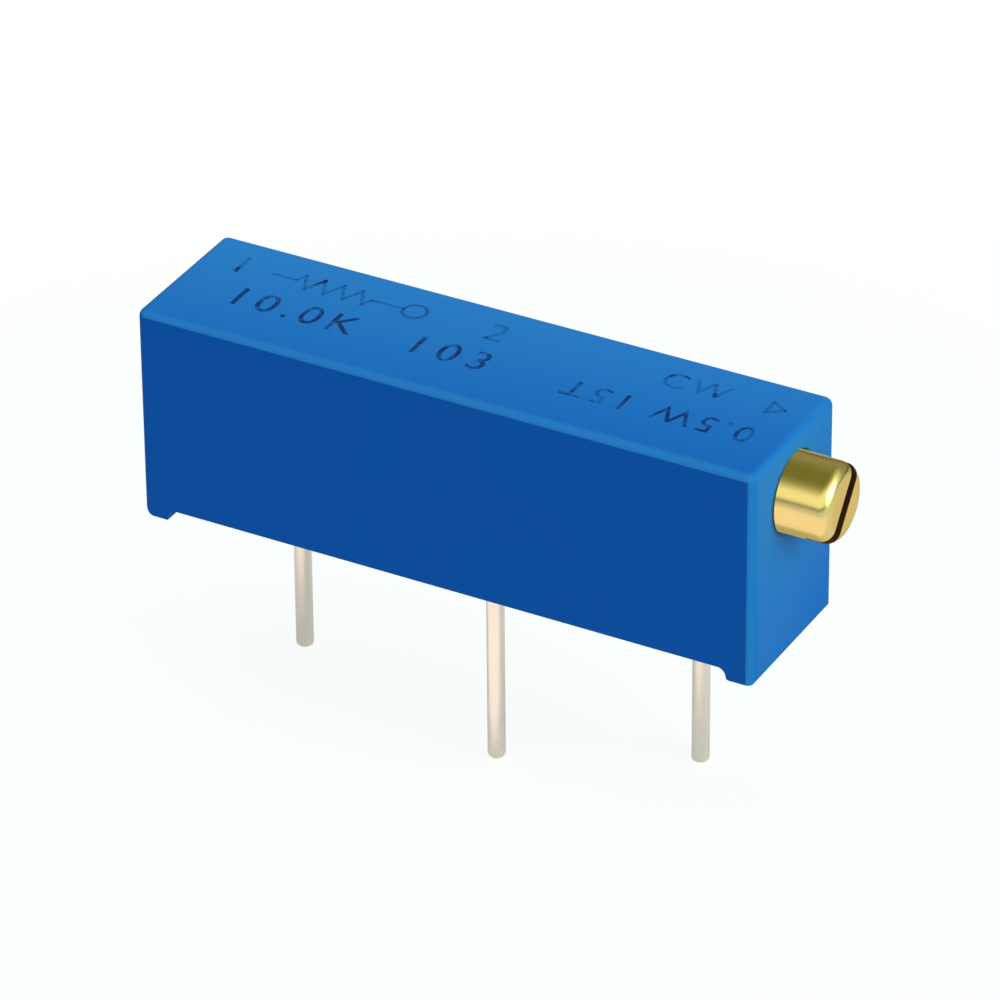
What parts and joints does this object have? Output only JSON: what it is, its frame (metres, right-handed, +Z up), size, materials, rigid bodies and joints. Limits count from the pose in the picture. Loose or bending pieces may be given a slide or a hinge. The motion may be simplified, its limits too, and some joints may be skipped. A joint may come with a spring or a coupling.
{
  "type": "trimmer potentiometer",
  "caption": "Multi-turn trimmer potentiometer in a long sealed blue housing, with a slotted brass adjusting screw in one end and three round board pins.",
  "frame": {"origin": "axis of terminal 1 on the seating plane, which is the plane of the two feet's soles", "axes": "+X along the housing from the closed end to the adjusting screw, +Y from terminal 2's row to the row of terminals 1 and 3, +Z up out of the top face"},
  "size_m": [0.0206, 0.0048, 0.0121],
  "materials": {
    "housing_plastic": "satin",
    "seal_epoxy": "satin",
    "alumina": "matte",
    "cermet": "satin",
    "film_conductor": "satin",
    "tinned_pin": "satin",
    "solder": "gloss",
    "turned_brass": "polished",
    "seal_rubber": "matte",
    "clip_bronze": "satin",
    "carriage_plastic": "matte",
    "spring_alloy": "gloss"
  },
  "bodies": {
    "case": {"housing": "housing_plastic", "base_seal": "seal_epoxy", "ceramic_plate": "alumina", "resistance_track": "cermet", "collector_track": "film_conductor", "end_pad_1": "film_conductor", "end_pad_3": "film_conductor", "terminal_1": "tinned_pin", "terminal_2": "tinned_pin", "terminal_3": "tinned_pin", "solder_joint_1": "solder", "solder_joint_2": "solder", "solder_joint_3": "solder", "shaft_seal": "seal_rubber", "retaining_clip": "clip_bronze"},
    "screw": {"adjusting_screw": "turned_brass"},
    "slider": {"carriage": "carriage_plastic", "contact_spring": "spring_alloy"}
  },
  "joints": [
    {"name": "carriage_slide", "type": "slide", "parent": "case", "child": "slider", "axis": [1, 0, 0], "range_m": [-0.00476, 0.00476]},
    {"name": "screw_turn", "type": "hinge", "parent": "case", "child": "screw", "pos_m": [0.0161, -0.00127, 0.00491], "axis": [1, 0, 0], "range_deg": [-2700, 2700]}
  ],
  "couplings": [
    {"joint": "screw_turn", "follows": "carriage_slide", "rad_per_m": -9894.8}
  ]
}
